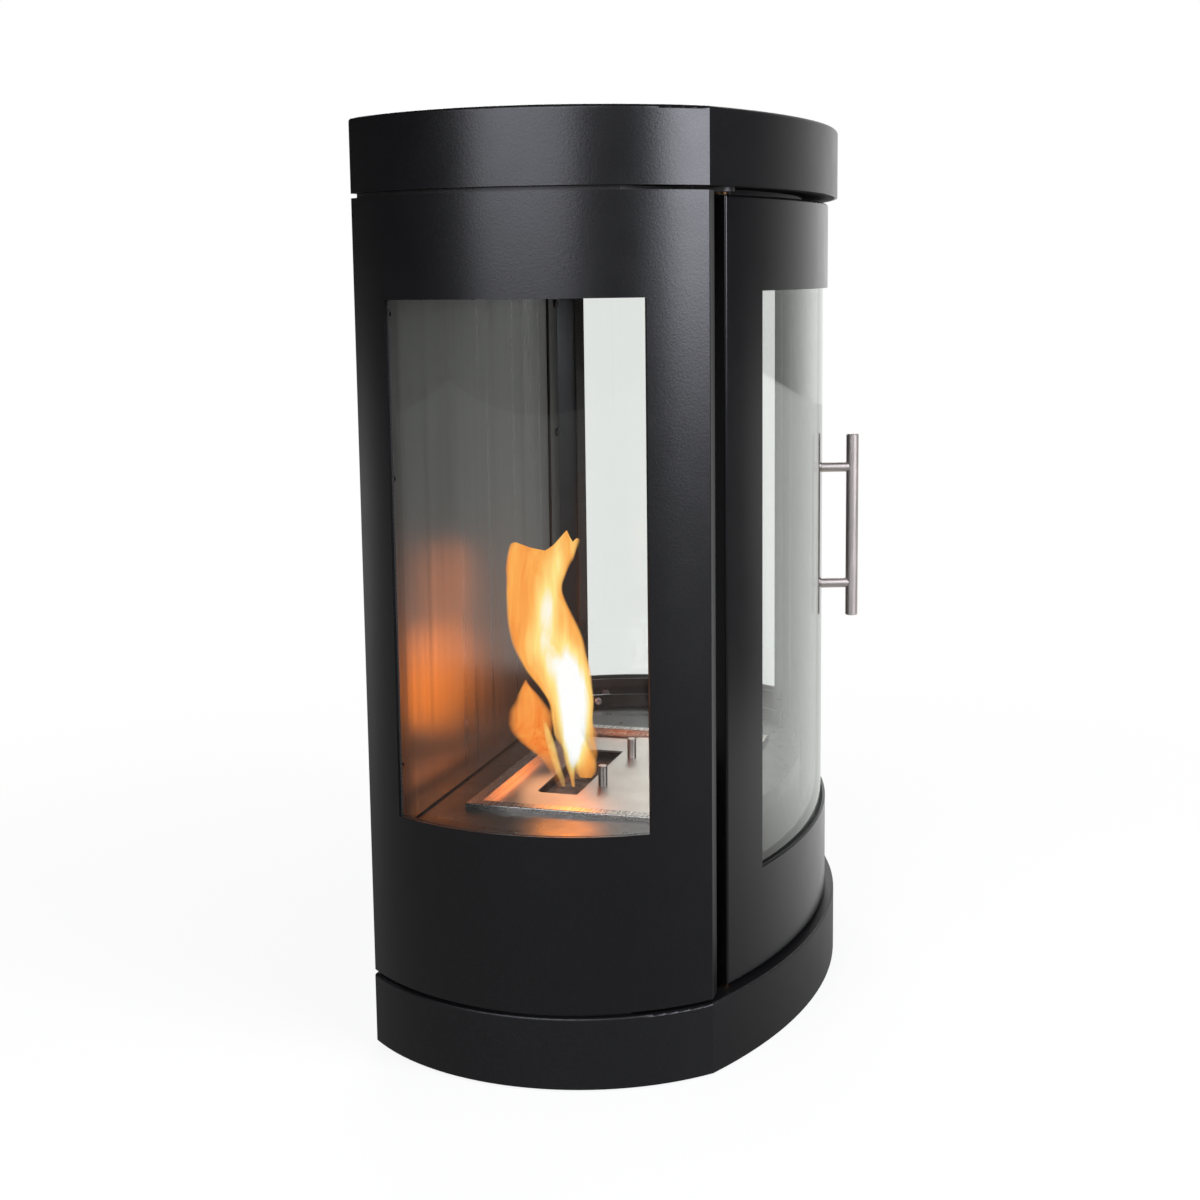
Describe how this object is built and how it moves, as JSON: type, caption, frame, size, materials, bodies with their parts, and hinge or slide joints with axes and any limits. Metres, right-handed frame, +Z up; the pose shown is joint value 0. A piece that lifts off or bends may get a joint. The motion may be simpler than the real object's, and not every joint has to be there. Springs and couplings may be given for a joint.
{
  "type": "bioethanol fireplace",
  "caption": "Free-standing bioethanol fireplace with curved glazed sides, a curved hinged glass door with a bar handle, and a burner with a sliding regulator plate.",
  "frame": {"origin": "On the floor, under the middle of the body's footprint.", "axes": "+Z is up, -Y is the front with the door, +Y is the flat back, +X is the side with the door's handle."},
  "size_m": [0.4832, 0.2869, 0.64],
  "materials": {
    "black_powder_coat": "fine-textured satin powder coat",
    "door_powder_coat": "fine-textured satin powder coat",
    "back_sheet": "satin powder coat",
    "black_screw": "blackened",
    "inner_steel": "satin",
    "liner_steel": "satin",
    "floor_steel": "satin",
    "baffle_steel": "mill",
    "galvanised_sheet": "galvanised",
    "rubber_foot": "matte",
    "zinc_screw": "zinc plated",
    "brushed_stainless": "brushed",
    "handle_post_steel": "polished",
    "hinge_pin_steel": "turned",
    "burner_steel": "brushed",
    "slot_plate_steel": "brushed",
    "slider_steel": "brushed",
    "post_steel": "polished",
    "fuel_box_steel": "heat stained",
    "ceramic_fleece": "matte",
    "glass_tape": "woven",
    "black_plastic": "matte",
    "magnet": "sintered",
    "bronze_bush": "sintered",
    "glass": "clear",
    "door_glass": "clear"
  },
  "bodies": {
    "body": {"base_shell": "black_powder_coat", "base_floor_plate": "galvanised_sheet", "foot_pads": "rubber_foot", "base_screws": "zinc_screw", "bottom_plate": "inner_steel", "top_plate": "inner_steel", "side_panel_right": "black_powder_coat", "side_panel_left": "black_powder_coat", "back_panel": "back_sheet", "back_panel_screws": "black_screw", "back_liner": "liner_steel", "back_post_right": "inner_steel", "back_post_left": "inner_steel", "back_post_screws": "zinc_screw", "front_post_right": "inner_steel", "front_post_left": "inner_steel", "front_header": "inner_steel", "front_apron": "inner_steel", "magnet_catch": "black_plastic", "catch_magnet": "magnet", "floor_pan": "floor_steel", "floor_pan_screws": "zinc_screw", "floor_brackets": "galvanised_sheet", "heat_baffle": "baffle_steel", "baffle_spacers": "zinc_screw", "lid_shell": "black_powder_coat", "lid_ring": "inner_steel", "lid_screws": "zinc_screw", "side_glass_right": "glass", "side_glass_left": "glass", "side_glass_tape_right": "glass_tape", "side_glass_tape_left": "glass_tape", "side_glass_channels_right": "inner_steel", "side_glass_channels_left": "inner_steel", "side_channel_nuts_right": "zinc_screw", "side_channel_nuts_left": "zinc_screw", "hinge_bush_bottom": "bronze_bush", "hinge_bush_top": "bronze_bush", "burner_frame": "burner_steel", "burner_plate": "slot_plate_steel", "fuel_box": "fuel_box_steel", "ceramic_fleece": "ceramic_fleece", "slider_rails": "burner_steel"},
    "door": {"door_frame": "door_powder_coat", "door_glass": "door_glass", "door_glass_tape": "glass_tape", "door_glass_channels": "inner_steel", "door_channel_nuts": "zinc_screw", "hinge_pin_bottom": "hinge_pin_steel", "hinge_pin_top": "hinge_pin_steel", "striker_plate": "zinc_screw", "handle_bar": "brushed_stainless", "handle_post_lower": "handle_post_steel", "handle_post_upper": "handle_post_steel", "handle_screws": "zinc_screw"},
    "regulator": {"slider_plate": "slider_steel", "slider_post_left": "post_steel", "slider_post_right": "post_steel"}
  },
  "joints": [
    {"name": "door_hinge", "type": "hinge", "parent": "body", "child": "door", "pos_m": [-0.15309, -0.09664, 0.31975], "axis": [0, 0, -1], "range_deg": [0, 110]},
    {"name": "regulator_slide", "type": "slide", "parent": "body", "child": "regulator", "axis": [0, 1, 0], "range_m": [-0.028, 0.038]}
  ]
}
